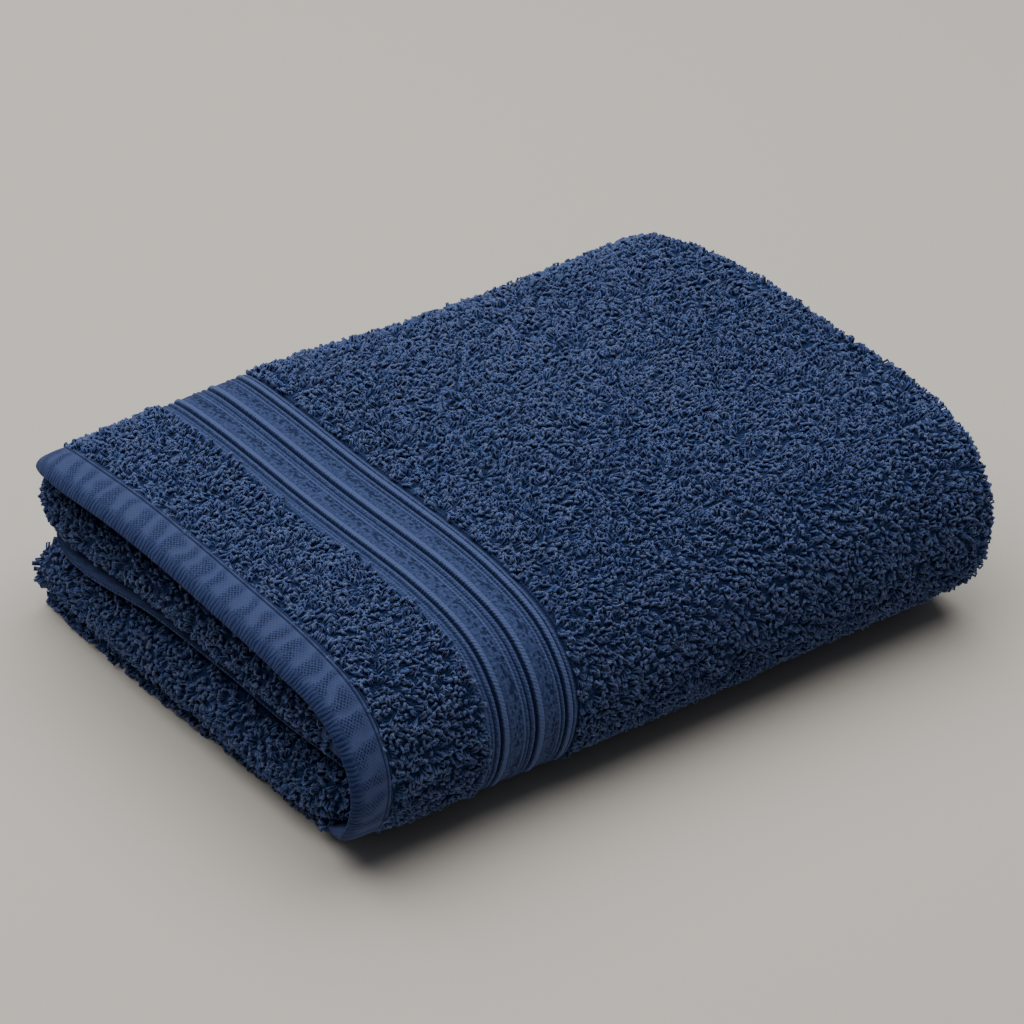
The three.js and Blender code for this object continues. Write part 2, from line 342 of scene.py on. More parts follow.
# The lines themselves: distance from the hem's edge, and how much deeper than the hem's own
# thickness they lie
UNDER_HEM = {
    "full cloth": (22, 10),
    "stitched seam": (14, 0.4),
    "middle of the hem": (8, 0),
    "near the edge": (3, 0),
    "edge starts to turn": (1.2, 0),
    "edge": (0.3, -0.1),
}


def inner_side(place):
    """The other side of the cloth, inside the folds, from the hidden hem to the hem's edge."""
    s = stack_sizes(place)
    ground = HIDDEN_PILE + place["thin"]
    hem_x = s["roll_x"] + HIDDEN_HEM_CLEARANCE
    near = 2 * s["pitch"] + ground
    far = s["stack"] - s["pitch"] - place["ground"] - place["thin"]
    fold = (s["fold_x"], s["middle"])
    roll = (s["roll_x"], s["roll_depth"])
    lines = fold_arc("hidden", hem_x, (near + far) / 2, (far - near) / 2, 90, 270, 4)
    lines += flat_lines("hidden", near, hem_x, s["fold_x"], 6)
    lines += fold_arc("hidden", *fold, LAYER_GAP / 2 + ground, 90, -90, 4)
    lines += flat_lines("hidden", s["pitch"] + s["layer"] - ground, s["fold_x"], s["roll_x"], 6)
    lines += fold_arc("hidden", *roll, s["layer"] / 2 + LAYER_GAP + ground, 270, 90, 6)
    lines += flat_lines("hidden", s["stack"] - s["layer"] + ground, s["roll_x"], s["fold_x"], 6)
    lines += fold_arc("hidden", *fold, s["middle"] - s["layer"] + ground, 90, -90, 8)
    under = s["layer"] - ground
    lines += flat_lines("hidden", under, s["fold_x"], place["hem_x"] + UNDER_HEM_START, 9)
    hem_inner = HEM_SUNK + HEM_THICKNESS - place["thin"]
    for from_hem, deeper in UNDER_HEM.values():
        x = place["hem_x"] + from_hem
        depth = np.minimum(under, hem_inner + deeper)
        zone = "hem" if from_hem < LOOPS_START else "hidden"
        lines.append((zone, x, depth + droop_at(place, x)))
    return lines


def settle(x, y, z):
    """The stack is a little taller at its folded end, its top is uneven, and a corner curls up."""
    taller = 1 + SWELL * np.clip(x / LENGTH_TO_SWELL, 0, 1)
    along_x = np.sin(2 * np.pi * (x + WAVE_TURN * y) / WAVE_LENGTH_X)
    along_y = np.cos(2 * np.pi * (y - WAVE_TURN * x) / WAVE_LENGTH_Y)
    wave = SURFACE_WAVE * (along_x + along_y) * z / TOP_LEVEL
    along = np.maximum(0, 1 - np.maximum(0, x) / CORNER_REACH)
    back = np.maximum(0, 1 - y / CORNER_REACH)
    low = np.maximum(0, 1 - z / CORNER_HEIGHT)
    lift = CORNER_LIFT * along**2 * back * low
    return np.stack([x - MIDDLE_X, y - MIDDLE_Y, z * taller + wave + lift], -1)


def in_space(place, lines):
    """Points in the towel's frame, for each place across the cloth and each line."""
    x = np.stack([line[1] for line in lines], 1)
    depth = np.stack([line[2] for line in lines], 1)
    share = depth / place["stack"][:, None]
    y = place["outer_y"][:, None] * (1 - share) + place["inner_y"][:, None] * share
    z = place["outer_z"][:, None] * (1 - share) + place["inner_z"][:, None] * share
    return settle(x, y, z)


def lengths_from_hem(points):
    """How far each line of the outer side is along the cloth from the hem's edge, measured half
    way across the cloth."""
    middle = points[len(points) // 2]
    steps = np.linalg.norm(np.diff(middle, axis=0), axis=1)
    along = np.concatenate([[0], np.cumsum(steps)])
    count = len(FACE_LINES)
    return np.concatenate([FACE_LINES, FACE_LINES[-1] + along[count:] - along[count - 1]])


def linear(hex_colour):
    """An sRGB hex value as the linear colour that shaders take."""
    values = [int(hex_colour[i : i + 2], 16) / 255 for i in (1, 3, 5)]
    return [v / 12.92 if v <= 0.04045 else ((v + 0.055) / 1.055) ** 2.4 for v in values] + [1.0]


def add(tree, kind, inputs=None, gives=0, **settings):
    """A node with its settings, and its inputs given as values or as sockets to link. It gives
    back one of the node's outputs."""
    made = tree.nodes.new(kind)
    for name, value in settings.items():
        setattr(made, name, value)
    for key, value in (inputs or {}).items():
        if isinstance(value, bpy.types.NodeSocket):
            tree.links.new(value, made.inputs[key])
        else:
            made.inputs[key].default_value = value
    return made.outputs[gives]


MATH = "ShaderNodeMath"
MIX = "ShaderNodeMix"
MAP_RANGE = "ShaderNodeMapRange"
NOISE = "ShaderNodeTexNoise"
ATTRIBUTE = "ShaderNodeAttribute"
# The sockets of a Mix node that mixes colours
SHARE, FIRST, SECOND, MIXED = 0, 6, 7, 2


def new_cotton(name, roughness, sheen, sheen_tint):
    """A cotton surface: its fine fibres give a soft sheen and no gloss."""
    material = bpy.data.materials.new(name)
    material.use_nodes = True
    tree = material.node_tree
    shader = tree.nodes["Principled BSDF"]
    shader.inputs["Roughness"].default_value = roughness
    shader.inputs["IOR"].default_value = 1.5
    shader.inputs["Specular IOR Level"].default_value = 0.2
    shader.inputs["Sheen Weight"].default_value = sheen
    shader.inputs["Sheen Roughness"].default_value = 0.5
    shader.inputs["Sheen Tint"].default_value = linear(sheen_tint)
    return material, tree, shader


def cloth_millimetres(tree):
    """The cloth's own measures: millimetres from the hem's edge, and across the cloth."""
    uv = add(tree, "ShaderNodeUVMap", uv_map="cloth")
    cloth = add(tree, "ShaderNodeVectorMath", {0: uv, "Scale": 1000.0}, operation="SCALE")
    along = add(tree, "ShaderNodeSeparateXYZ", {0: cloth})
    return cloth, along, along.node.outputs["Y"]


def ridges(tree, along, pitch):
    """A wave from 0 to 1 with one ridge for each pitch."""
    turns = add(tree, MATH, {0: along, 1: 2 * math.pi / pitch}, operation="MULTIPLY")
    sine = add(tree, MATH, {0: turns}, operation="SINE")
    return add(tree, MATH, {0: sine, 1: 0.5, 2: 0.5}, operation="MULTIPLY_ADD")


def finish_surface(tree, shader, colour, height, strength, depth):
    """The colour, and the small relief of depth metres, on the surface."""
    tree.links.new(colour, shader.inputs["Base Color"])
    bumps = {"Height": height, "Strength": strength, "Distance": depth}
    tree.links.new(add(tree, "ShaderNodeBump", bumps), shader.inputs["Normal"])


def loop_yarn():
    """Soft two-ply cotton yarn of the pile, piece-dyed navy. Each loop is a little lighter or
    darker than the next, and paler on its top. Towards its foot it is painted deep blue, as
    painted shade deep in the pile."""
    material, tree, shader = new_cotton("cotton_loop_yarn", 0.92, 0.3, "#92a0cc")
    foot = add(tree, ATTRIBUTE, attribute_name="foot_to_top", gives="Fac")
    tone = add(tree, ATTRIBUTE, attribute_name="tone", gives="Fac")
    place = add(tree, "ShaderNodeTexCoord", gives="Object")
    shades = {SHARE: tone, FIRST: linear("#404d73"), SECOND: linear("#566289")}
    lit = add(tree, MIX, shades, data_type="RGBA", gives=MIXED)
    # Tufts of fibre 0.4 mm long break up each strand
    fibres = add(tree, NOISE, {"Vector": place, "Scale": 2500.0, "Detail": 2.0})
    tufts_and_edge_shade = add(tree, MATH, {0: fibres, 1: 0.7, 2: -0.2}, operation="MULTIPLY_ADD")
    tufts = {SHARE: tufts_and_edge_shade, FIRST: lit, SECOND: linear("#2f406e")}
    colour = add(tree, MIX, tufts, data_type="RGBA", gives=MIXED)
    # Painted shade: each loop is darkened towards its foot, where the pile shades it
    foot_shade = {SHARE: foot, FIRST: linear("#1c3668"), SECOND: colour}
    shaded = add(tree, MIX, foot_shade, data_type="RGBA", gives=MIXED)
    finish_surface(tree, shader, shaded, fibres, 0.3, 0.0003)
    shader.inputs["Subsurface Weight"].default_value = 0.4
    shader.inputs["Subsurface Radius"].default_value = (0.3, 0.5, 1.0)
    shader.inputs["Subsurface Scale"].default_value = 0.0009
    return material


def ground_weave():
    """The ground cloth with the lowest curls of the loops lying on it, deep blue because little
    light comes down between the loops."""
    material, tree, shader = new_cotton("cotton_ground_weave", 0.95, 0.15, "#6f86b5")
    cloth, _, _ = cloth_millimetres(tree)
    drift = add(tree, NOISE, {"Vector": cloth, "Scale": 0.6, "Detail": 1.0}, gives="Color")
    curled = {0: drift, 1: (2.6, 2.6, 0.0), 2: cloth}
    bent = add(tree, "ShaderNodeVectorMath", curled, operation="MULTIPLY_ADD")
    # Curls about 1.4 mm across
    curls = add(
        tree,
        "ShaderNodeTexVoronoi",
        {"Vector": bent, "Scale": 0.7, "Randomness": 1.0},
        feature="DISTANCE_TO_EDGE",
    )
    # Painted shade: the gaps between the painted curls are darker than their middles
    bright = add(tree, MAP_RANGE, {0: curls, 1: 0.02, 2: 0.32})
    shades = {SHARE: bright, FIRST: linear("#10234c"), SECOND: linear("#223560")}
    colour = add(tree, MIX, shades, data_type="RGBA", gives=MIXED)
    finish_surface(tree, shader, colour, bright, 0.9, 0.0008)
    return material


def hem_twill():
    """The flat hem: close twill whose filling bunches into ribs over the turned edge. Its stitches
    pucker it, so smooth places and dotted ones take turns along it. Painted shade darkens its
    turned edge, the furrows between the ribs and the stitch grooves, and the puckers carry
    painted light and shade."""
    material, tree, shader = new_cotton("hem_cotton_twill", 0.85, 0.2, "#8ba0d8")
    cloth, along, across = cloth_millimetres(tree)
    drift = add(tree, NOISE, {"Vector": cloth, "Scale": 0.08, "Detail": 1.0})
    slanted = add(tree, MATH, {0: along, 1: -0.25, 2: across}, operation="MULTIPLY_ADD")
    moved = add(tree, MATH, {0: drift, 1: 14.0, 2: slanted}, operation="MULTIPLY_ADD")
    pucker = ridges(tree, moved, 10.4)
    # Ribs 2 mm apart run over the edge, bend, and fade out towards the middle of the hem
    tremor = add(tree, NOISE, {"Vector": cloth, "Scale": 0.3, "Detail": 1.0})
    swayed = add(tree, MATH, {0: tremor, 1: 2.6, 2: across}, operation="MULTIPLY_ADD")
    bent = add(tree, MATH, {0: along, 1: -0.2, 2: swayed}, operation="MULTIPLY_ADD")
    rib = ridges(tree, bent, 2.0)
    reach = add(tree, MATH, {0: tremor, 1: 5.0, 2: 2.4}, operation="MULTIPLY_ADD")
    near_edge = add(tree, MAP_RANGE, {0: along, 1: 1.8, 2: reach, 3: 1.0, 4: 0.0})
    furrow = add(tree, MAP_RANGE, {0: rib, 1: 0.75, 2: 0.15, 3: 0.0, 4: 1.0})
    furrows = add(tree, MATH, {0: furrow, 1: near_edge}, operation="MULTIPLY")
    # Twill dots 1.4 mm by 2 mm apart, coarser than the real thread so that they show
    shaken = add(tree, NOISE, {"Vector": cloth, "Scale": 0.7, "Detail": 1.0})
    uneven = add(tree, MATH, {0: shaken, 1: 1.8, 2: across}, operation="MULTIPLY_ADD")
    tilted = add(tree, MATH, {0: uneven, 1: 0.7}, operation="MULTIPLY")
    uphill = add(tree, MATH, {0: along, 1: tilted}, operation="ADD")
    downhill = add(tree, MATH, {0: along, 1: tilted}, operation="SUBTRACT")
    crossing = {0: ridges(tree, uphill, 1.4), 1: ridges(tree, downhill, 1.4)}
    crossed = add(tree, MATH, crossing, operation="MULTIPLY")
    dots = add(tree, MAP_RANGE, {0: crossed, 1: 0.12, 2: 0.34})
    from_middle = add(tree, MATH, {0: along, 1: 8.0}, operation="SUBTRACT")
    off_middle = add(tree, MATH, {0: from_middle}, operation="ABSOLUTE")
    in_middle = add(tree, MAP_RANGE, {0: off_middle, 1: 3.4, 2: 6.0, 3: 1.0, 4: 0.25})
    loose = add(tree, MAP_RANGE, {0: pucker, 1: 0.25, 2: 0.75, 3: 0.2, 4: 1.0})
    dotted_place = add(tree, MATH, {0: loose, 1: in_middle}, operation="MULTIPLY")
    dotted = add(tree, MATH, {0: dots, 1: dotted_place}, operation="MULTIPLY")
    rise = add(tree, ATTRIBUTE, attribute_name="relief", gives="Fac")
    # Painted shade in the stitch grooves, from how deep the relief sinks
    stitch_groove_shade = add(tree, MAP_RANGE, {0: rise, 1: -0.1, 2: -0.4, 3: 0.0, 4: 0.8})
    # Painted light and shade of the puckers: smooth places a little lighter, dotted ones a little
    # darker, besides the real twill dots
    shades = {SHARE: pucker, FIRST: linear("#3d4970"), SECOND: linear("#354168")}
    flat = add(tree, MIX, shades, data_type="RGBA", gives=MIXED)
    # Painted shade: the hem's edge is painted darkest where it turns down, away from the light, and
    # less so in the tucked third
    turned = add(tree, MAP_RANGE, {0: along, 1: 1.0, 2: 5.0, 3: 0.8, 4: 0.0})
    in_sight = add(tree, MAP_RANGE, {0: across, 1: 540.0, 2: 600.0, 3: 1.0, 4: 0.3})
    turned_down = add(tree, MATH, {0: turned, 1: in_sight}, operation="MULTIPLY")
    tufts_and_edge_shade = {SHARE: turned_down, FIRST: flat, SECOND: linear("#1b2b55")}
    base = add(tree, MIX, tufts_and_edge_shade, data_type="RGBA", gives=MIXED)
    # Painted shade in the furrows between the ribs, near the edge
    rib_furrow_shade = add(tree, MATH, {0: furrows, 1: 0.95}, operation="MULTIPLY")
    marks = add(tree, MATH, {0: rib_furrow_shade, 1: dotted}, operation="MAXIMUM")
    darkest = add(tree, MATH, {0: marks, 1: stitch_groove_shade}, operation="MAXIMUM")
    marked = {SHARE: darkest, FIRST: base, SECOND: linear("#0b1a42")}
    colour = add(tree, MIX, marked, data_type="RGBA", gives=MIXED)
    swell = add(tree, MATH, {0: pucker, 1: -1.2, 2: marks}, operation="MULTIPLY_ADD")
    height = add(tree, MATH, {0: 1.0, 1: swell}, operation="SUBTRACT")
    finish_surface(tree, shader, colour, height, 0.6, 0.0006)
    return material


def border_filling():
    """The woven border: smooth filling yarn in cords, grooves and two broad bands. Little light
    comes between its ridges, so its grooves are painted dark as painted shade, and its crests are
    painted lighter as painted highlights. Small dark pits lie in the bands, most of them past the
    middle."""
    material, tree, shader = new_cotton("border_filling_weave", 0.82, 0.2, "#8ba0d8")
    cloth, along, across = cloth_millimetres(tree)
    rise = add(tree, ATTRIBUTE, attribute_name="relief", gives="Fac")
    band = add(tree, ATTRIBUTE, attribute_name="band_place", gives="Fac")
    # Painted shade in the grooves and painted highlight on the crests, both from the relief
    groove = add(tree, MAP_RANGE, {0: rise, 1: 0.05, 2: -0.5, 3: 0.0, 4: 1.0})
    crest_highlight = add(tree, MAP_RANGE, {0: rise, 1: 0.3, 2: 0.65, 3: 0.0, 4: 1.0})
    in_band = add(tree, MATH, {0: band, 1: 0.01}, operation="GREATER_THAN")
    # Filling yarn in ribs 1.3 mm apart, which slant across the cords
    slanted = add(tree, MATH, {0: along, 1: 0.6, 2: across}, operation="MULTIPLY_ADD")
    ribs = ridges(tree, slanted, 1.5)
    rib = add(tree, MATH, {0: ribs, 1: in_band}, operation="SUBTRACT", use_clamp=True)
    mottle = add(tree, NOISE, {"Vector": cloth, "Scale": 0.7, "Detail": 3.0})
    speckle = add(tree, MAP_RANGE, {0: mottle, 1: 0.35, 2: 0.65})
    # Slanting pits up to 2 mm long, largest past the middle of the band
    slant = {"Vector": cloth, "Rotation": (0.0, 0.0, 0.45), "Scale": (0.72, 0.42, 1.0)}
    slanting = add(tree, "ShaderNodeMapping", slant, vector_type="POINT")
    cells = {"Vector": slanting, "Scale": 1.0, "Randomness": 1.0}
    pits = add(tree, "ShaderNodeTexVoronoi", cells)
    from_peak = add(tree, MATH, {0: band, 1: 0.68}, operation="SUBTRACT")
    off_peak = add(tree, MATH, {0: from_peak}, operation="ABSOLUTE")
    pit_size = add(tree, MAP_RANGE, {0: off_peak, 1: 0.1, 2: 0.5, 3: 0.44, 4: 0.08})
    soft_side = add(tree, MATH, {0: pit_size, 1: 0.12}, operation="ADD")
    pit = add(tree, MAP_RANGE, {0: pits, 1: pit_size, 2: soft_side, 3: 1.0, 4: 0.0})
    band_pit = add(tree, MATH, {0: pit, 1: in_band}, operation="MULTIPLY")
    shades = {SHARE: speckle, FIRST: linear("#203056"), SECOND: linear("#3d4b75")}
    woven = add(tree, MIX, shades, data_type="RGBA", gives=MIXED)
    crests = {SHARE: crest_highlight, FIRST: woven, SECOND: linear("#4a5883")}
    base = add(tree, MIX, crests, data_type="RGBA", gives=MIXED)
    ribbed = add(tree, MATH, {0: rib, 1: 0.06}, operation="MULTIPLY")
    dark_pit = add(tree, MATH, {0: band_pit, 1: 0.95}, operation="MULTIPLY")
    marks = add(tree, MATH, {0: ribbed, 1: dark_pit}, operation="MAXIMUM")
    darkest = add(tree, MATH, {0: marks, 1: groove}, operation="MAXIMUM")
    marked = {SHARE: darkest, FIRST: base, SECOND: linear("#0a1a40")}
    colour = add(tree, MIX, marked, data_type="RGBA", gives=MIXED)
    soft_rib = add(tree, MATH, {0: rib, 1: 0.3}, operation="MULTIPLY")
    grain = add(tree, MATH, {0: speckle, 1: 0.35, 2: soft_rib}, operation="MULTIPLY_ADD")
    height = add(tree, MATH, {0: grain, 1: band_pit}, operation="SUBTRACT")
    finish_surface(tree, shader, colour, height, 0.7, 0.0008)
    return material


def mesh_from_arrays(name, points, faces):
    """A smooth mesh object from an array of points in millimetres and arrays of faces. The floor
    presses flat what would reach below it."""
    points = points.copy()
    points[:, 2] = np.maximum(points[:, 2], 0)
    mesh = bpy.data.meshes.new(name)
    corners = np.concatenate([f.ravel() for f in faces]).astype(np.int32)
    sizes = np.concatenate([np.full(len(f), f.shape[1]) for f in faces]).astype(np.int32)
    starts = np.concatenate([[0], np.cumsum(sizes)[:-1]]).astype(np.int32)
    mesh.vertices.add(len(points))
    mesh.vertices.foreach_set("co", (points * MM).astype(np.float32).ravel())
    mesh.loops.add(len(corners))
    mesh.loops.foreach_set("vertex_index", corners)
    mesh.polygons.add(len(sizes))
    mesh.polygons.foreach_set("loop_start", starts)
    mesh.polygons.foreach_set("use_smooth", np.full(len(sizes), True))
    mesh.update(calc_edges=True)
    made = bpy.data.objects.new(name, mesh)
    bpy.context.scene.collection.objects.link(made)
    return made


def give_values(mesh, title, values):
    """A value for each point of a mesh, under a name that its material reads."""
    layer = mesh.attributes.new(title, "FLOAT", "POINT")
    layer.data.foreach_set("value", np.asarray(values, np.float32))


def end_caps(lines, count, width):
    """Triangles that close the sheet's two long edges."""
    caps = []
    for end in (0, count - 1):
        flat = [Vector((line[1][end], line[2][end], 0)) for line in lines]
        triangles = np.array(tessellate_polygon([flat]))
        a, b, c = (np.array(flat)[triangles[:, k]] for k in range(3))
        one_side, other_side = b - a, c - a
        area = one_side[:, 0] * other_side[:, 1] - one_side[:, 1] * other_side[:, 0]
        triangles[area > 0] = triangles[area > 0][:, ::-1]
        caps.append((triangles[:, ::-1] if end == 0 else triangles) + end * width)
    return caps


def rows_across():
    """Where the sheet's rows of points lie across the cloth: close together at its long hems."""
    edge = SIDE_EDGE_LENGTH * np.sin(np.radians([30, 60, 85]))
    seam = SIDE_HEM_WIDTH + np.array([-0.1, 0.1, 0.9, 1.1])
    side_hem = np.concatenate([[0, 2.2, 4.4], seam])
    inside = np.linspace(SIDE_HEM_WIDTH + 4, CLOTH_WIDTH - SIDE_HEM_WIDTH - 4, 170)
    far_side = CLOTH_WIDTH - side_hem[::-1]
    return np.concatenate([-edge[::-1], side_hem, inside, far_side, CLOTH_WIDTH + edge])


def give_cloth_map(mesh, along, across):
    """The UV map of the cloth's own measures: metres from the hem's edge, and across the cloth."""
    width = len(along)
    uv = mesh.uv_layers.new(name="cloth")
    corner_points = np.zeros(len(mesh.loops), np.int32)
    mesh.loops.foreach_get("vertex_index", corner_points)
    both = np.stack([along[corner_points % width], across[corner_points // width]], -1) * MM
    uv.uv.foreach_set("vector", both.astype(np.float32).ravel())


def give_relief(mesh, count, width):
    """How far each line of the outer face rises, and where it lies in a broad band of the border,
    from 0 to 1 across the band."""
    rises = np.zeros(width)
    rises[: len(FACE_LINES)] = [relief(line) for line in FACE_LINES]
    give_values(mesh, "relief", np.tile(rises, count))
    bands = np.zeros(width)
    for start, end in BANDS:
        part = (FACE_LINES - start) / (end - start)
        bands[: len(FACE_LINES)] += np.where((part > 0) & (part < 1), part, 0)
    give_values(mesh, "band_place", np.tile(bands, count))


def give_materials(mesh, materials, lines, across):
    """Each finish on its own faces. The narrow hems along the two long edges, and the caps that
    close the sheet there, are twill as well."""
    for material in materials.values():
        mesh.materials.append(material)
    order = {name: index for index, name in enumerate(materials)}
    finish = {"hem": order["hem"], "hem_edge": order["hem"], "border": order["border"]}
    of_line = np.array([finish.get(zone, order["ground"]) for zone, *_ in lines])
    middle = (across[1:] + across[:-1]) / 2
    in_side_hem = np.minimum(middle, CLOTH_WIDTH - middle) < SIDE_HEM_WIDTH + 0.5
    plain = of_line[None, :] == order["ground"]
    of_quad = np.where(in_side_hem[:, None] & plain, order["hem"], of_line[None, :])
    of_caps = np.full(len(mesh.polygons) - of_quad.size, order["hem"])
    every = np.concatenate([of_quad.ravel(), of_caps])
    mesh.polygons.foreach_set("material_index", every.astype(np.int32))


def make_sheet(materials):
    """The ground weave with its hems and border, as one closed sheet in all its folds."""
    across = rows_across()
    place = places_at(across)
    outer = outer_side(place)
    inner = inner_side(place)
    lines = outer + inner
    points = in_space(place, lines)
    along_outer = lengths_from_hem(in_space(place, outer))
    along = np.concatenate([along_outer, np.linspace(along_outer[-1], 0, len(inner))])
    count, width = points.shape[:2]
    row = np.arange(count - 1)[:, None] * width
    column = np.arange(width)[None, :]
    after = (column + 1) % width
    quads = np.stack([row + column, row + after, row + width + after, row + width + column], -1)
    faces = [quads.reshape(-1, 4), *end_caps(lines, count, width)]
    sheet = mesh_from_arrays("towel_ground", points.reshape(-1, 3), faces)
    give_cloth_map(sheet.data, along, across)
    give_relief(sheet.data, count, width)
    give_materials(sheet.data, materials, lines, across)
    return sheet


def soft_noise(x, y, size, seed):
    """A smooth uneven field, mostly from -1 to 1, whose swells are about size across."""
    picks = np.random.default_rng(seed)
    total = 0
    for _ in range(7):
        turn, phase = picks.uniform(0, 2 * np.pi, 2)
        wave = 2 * np.pi / (size * picks.uniform(0.8, 1.8))
        total = total + np.sin(wave * (x * np.cos(turn) + y * np.sin(turn)) + phase)
    return total / 3


def unit(vectors):
    """Vectors of length one."""
    return vectors / (np.linalg.norm(vectors, axis=-1, keepdims=True) + 1e-9)


def hem_end(place):
    """Lines round the end of the outer layer, from the hem's face over its edge to the middle of
    its underside, for loops that cover it where it lies on the floor."""
    over = [line for line in outer_side(place)[: len(FACE_LINES)] if line[0] == "hem_edge"]
    lines_under = list(UNDER_HEM).index("middle of the hem") - len(UNDER_HEM)
    under = inner_side(place)[lines_under:]
    return [("hem_end", *line[1:]) for line in [*reversed(over), *reversed(under)]]


# How far a loop strays from its place in its row, as a share of the spacing
STRAY = 0.42
# How far in from the rolled left end and from the right folds a zone's ends reach
LEFT_REACH = 16
RIGHT_REACH = 24


def pile_places(first, last, spacing, zones, ends_of):
    """Where loops stand between two distances across the cloth: points, surface normals, the
    direction of the cloth's length, and the cloth's own measures of each point. Of the zones in
    ends_of, only what lies near the left and right ends has loops."""
    across = np.arange(first, last, spacing)
    place = places_at(across)
    round_hem = "hem_end" in zones
    lines = hem_end(place) if round_hem else outer_side(place)
    points = in_space(place, lines)
    zone_of = np.array([line[0] for line in lines])
    along_length = np.gradient(points, axis=1)
    along_width = np.gradient(points, axis=0)
    normals = unit(np.cross(along_length, along_width))
    if round_hem:
        normals = -normals
    found = []
    for row in range(len(across)):
        steps = np.linalg.norm(np.diff(points[row], axis=0), axis=1)
        travelled = np.concatenate([[0], np.cumsum(steps)])
        spots = np.arange(0, travelled[-1], spacing) + (row % 2) * spacing / 2
        spots = spots + rng.uniform(-STRAY, STRAY, len(spots)) * spacing
        spots = spots[(spots > 0) & (spots < travelled[-1])]
        line = np.clip(np.searchsorted(travelled, spots) - 1, 0, len(lines) - 2)
        x = np.interp(spots, travelled, points[row][:, 0]) + MIDDLE_X
        near_left = x < place["roll_x"][row] + LEFT_REACH
        near_end = near_left | (x > place["right_x"][row] - RIGHT_REACH)
        keep = np.isin(zone_of[line], zones) | (np.isin(zone_of[line], ends_of) & near_end)
        spots = spots[keep]
        shift = rng.uniform(-STRAY, STRAY, len(spots)) * spacing
        at, normal, length_way, width_way = (
            np.stack([np.interp(spots, travelled, field[row][:, k]) for k in range(3)], -1)
            for field in (points, normals, along_length, along_width)
        )
        at = at + unit(width_way) * shift[:, None]
        found.append((at, normal, length_way, across[row] + shift, spots))
    return [np.concatenate(parts) for parts in zip(*found)]


# Each loop is a tube of four rings with three points each
RINGS = 4
POINTS_ROUND = 3
# How far the feet of the loops stand in the ground weave
FOOT_DEPTH = 0.3


def loop_rings(places, legs, feet, lean, swell):
    """The middles of each loop's rings, and the direction square to its plane. The yarn rises
    from one foot, turns over and comes back down to the other. swell makes the legs longer or
    shorter by place."""
    at, normal, length_way, across, along = places
    count = len(at)
    normal = unit(normal)
    length_way = unit(length_way - normal * (length_way * normal).sum(1, keepdims=True))
    side_way = np.cross(normal, length_way)
    toward = 3.0 * soft_noise(across, along, 20, 4) + rng.normal(0, 1.1, count)
    tip = np.radians(rng.uniform(*lean, count))
    lie = np.cos(toward)[:, None] * length_way + np.sin(toward)[:, None] * side_way
    leg = np.cos(tip)[:, None] * normal + np.sin(tip)[:, None] * lie
    flat_side = unit(np.cross(normal, lie))
    twist = rng.normal(0, 0.7, count)[:, None]
    chord = np.cos(twist) * flat_side + np.sin(twist) * np.cross(leg, flat_side)
    sideways = np.cross(leg, chord)
    length = (rng.uniform(*legs, count) * (1 + swell))[:, None]
    half = rng.uniform(*feet, count)[:, None]
    wider = half * rng.uniform(1.0, 1.5, (count, 1))
    curl = rng.uniform(-0.4, 0.4, (2, count, 1))
    first_foot = at - chord * half - normal * FOOT_DEPTH
    last_foot = at + chord * half - normal * FOOT_DEPTH
    first_turn = at - chord * wider + leg * length * rng.uniform(0.8, 1.05, (count, 1))
    last_turn = at + chord * wider + leg * length * rng.uniform(0.8, 1.05, (count, 1))
    first_turn = first_turn + sideways * curl[0]
    last_turn = last_turn + sideways * curl[1]
    return np.stack([first_foot, first_turn, last_turn, last_foot], 1), sideways


def yarn_tubes(rings, sideways, thickness):
    """Points and faces of a tube of yarn round each loop's rings, a little thicker at the top."""
    tangent = unit(np.gradient(rings, axis=1))
    outward = unit(np.cross(tangent, sideways[:, None, :]))
    beside = np.cross(outward, tangent)
    radius = thickness * np.array([0.85, 1.08, 1.08, 0.85])[None, :]
    shell = []
    for corner in range(POINTS_ROUND):
        angle = 2 * np.pi * corner / POINTS_ROUND + np.pi / 6
        aside = (radius * np.cos(angle))[:, :, None] * beside
        shell.append(rings + aside + (radius * np.sin(angle))[:, :, None] * outward)
    points = np.stack(shell, 2)
    size = RINGS * POINTS_ROUND
    base = (np.arange(len(rings)) * size)[:, None, None]
    ring = np.arange(RINGS - 1)[None, :, None] * POINTS_ROUND
    corner = np.arange(POINTS_ROUND)[None, None, :]
    after = (corner + 1) % POINTS_ROUND
    near, far = base + ring, base + ring + POINTS_ROUND
    quads = np.stack([near + corner, near + after, far + after, far + corner], -1)
    first_cap = base[:, :, 0] + np.array([0, 2, 1])[None, :]
    last_cap = base[:, :, 0] + size + np.array([-3, -2, -1])[None, :]
    return points.reshape(-1, 3), [quads.reshape(-1, 4), first_cap, last_cap]


